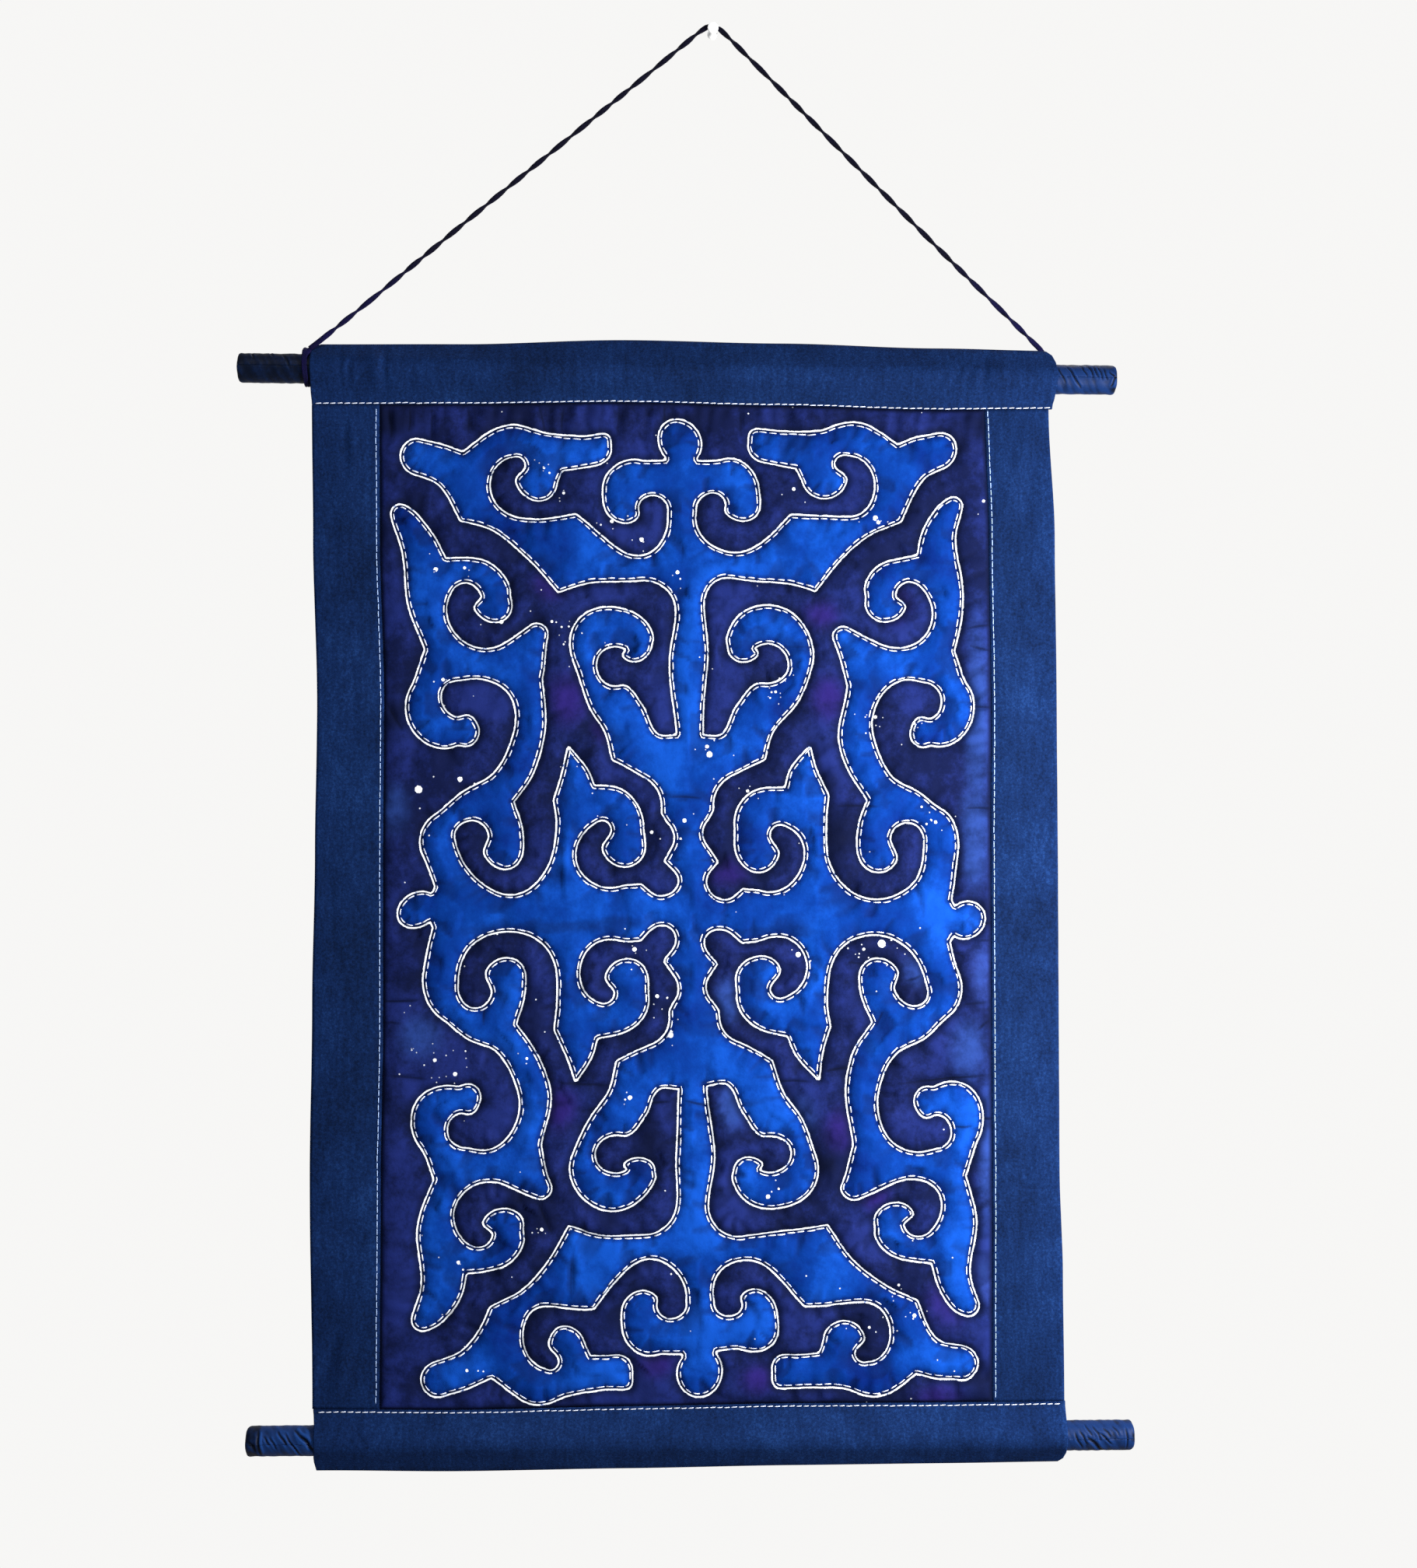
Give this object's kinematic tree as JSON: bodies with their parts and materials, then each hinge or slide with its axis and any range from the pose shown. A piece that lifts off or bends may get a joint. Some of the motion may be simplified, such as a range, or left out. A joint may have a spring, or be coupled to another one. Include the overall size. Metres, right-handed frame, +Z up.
{
  "type": "quilted wall hanging with rods and wall pin",
  "caption": "Quilted batik wall hanging with plain borders, on cloth-wrapped rods in sleeves, with a twisted hanging cord over a wall pin",
  "frame": {"origin": "centre of the wall pin's flat back face, on the wall", "axes": "+Z up, +X to the viewer's right, -Y out of the wall towards the viewer"},
  "size_m": [0.5381, 0.0254, 0.8766],
  "materials": {
    "batik_cotton": "dyed cotton, quilted",
    "plain_cotton": "plain woven cotton",
    "rod_wrap": "glazed cotton, wrapped tight",
    "cord": "flat braid",
    "white_plastic": "gloss"
  },
  "bodies": {
    "root": {"quilted_panel": "batik_cotton", "border_left": "plain_cotton", "border_right": "plain_cotton", "sleeve_top": "plain_cotton", "sleeve_bottom": "plain_cotton", "rod_top": "rod_wrap", "rod_bottom": "rod_wrap", "hanging_cord": "cord", "cord_tie": "cord", "cord_knot": "cord", "wall_pin": "white_plastic"}
  },
  "joints": []
}
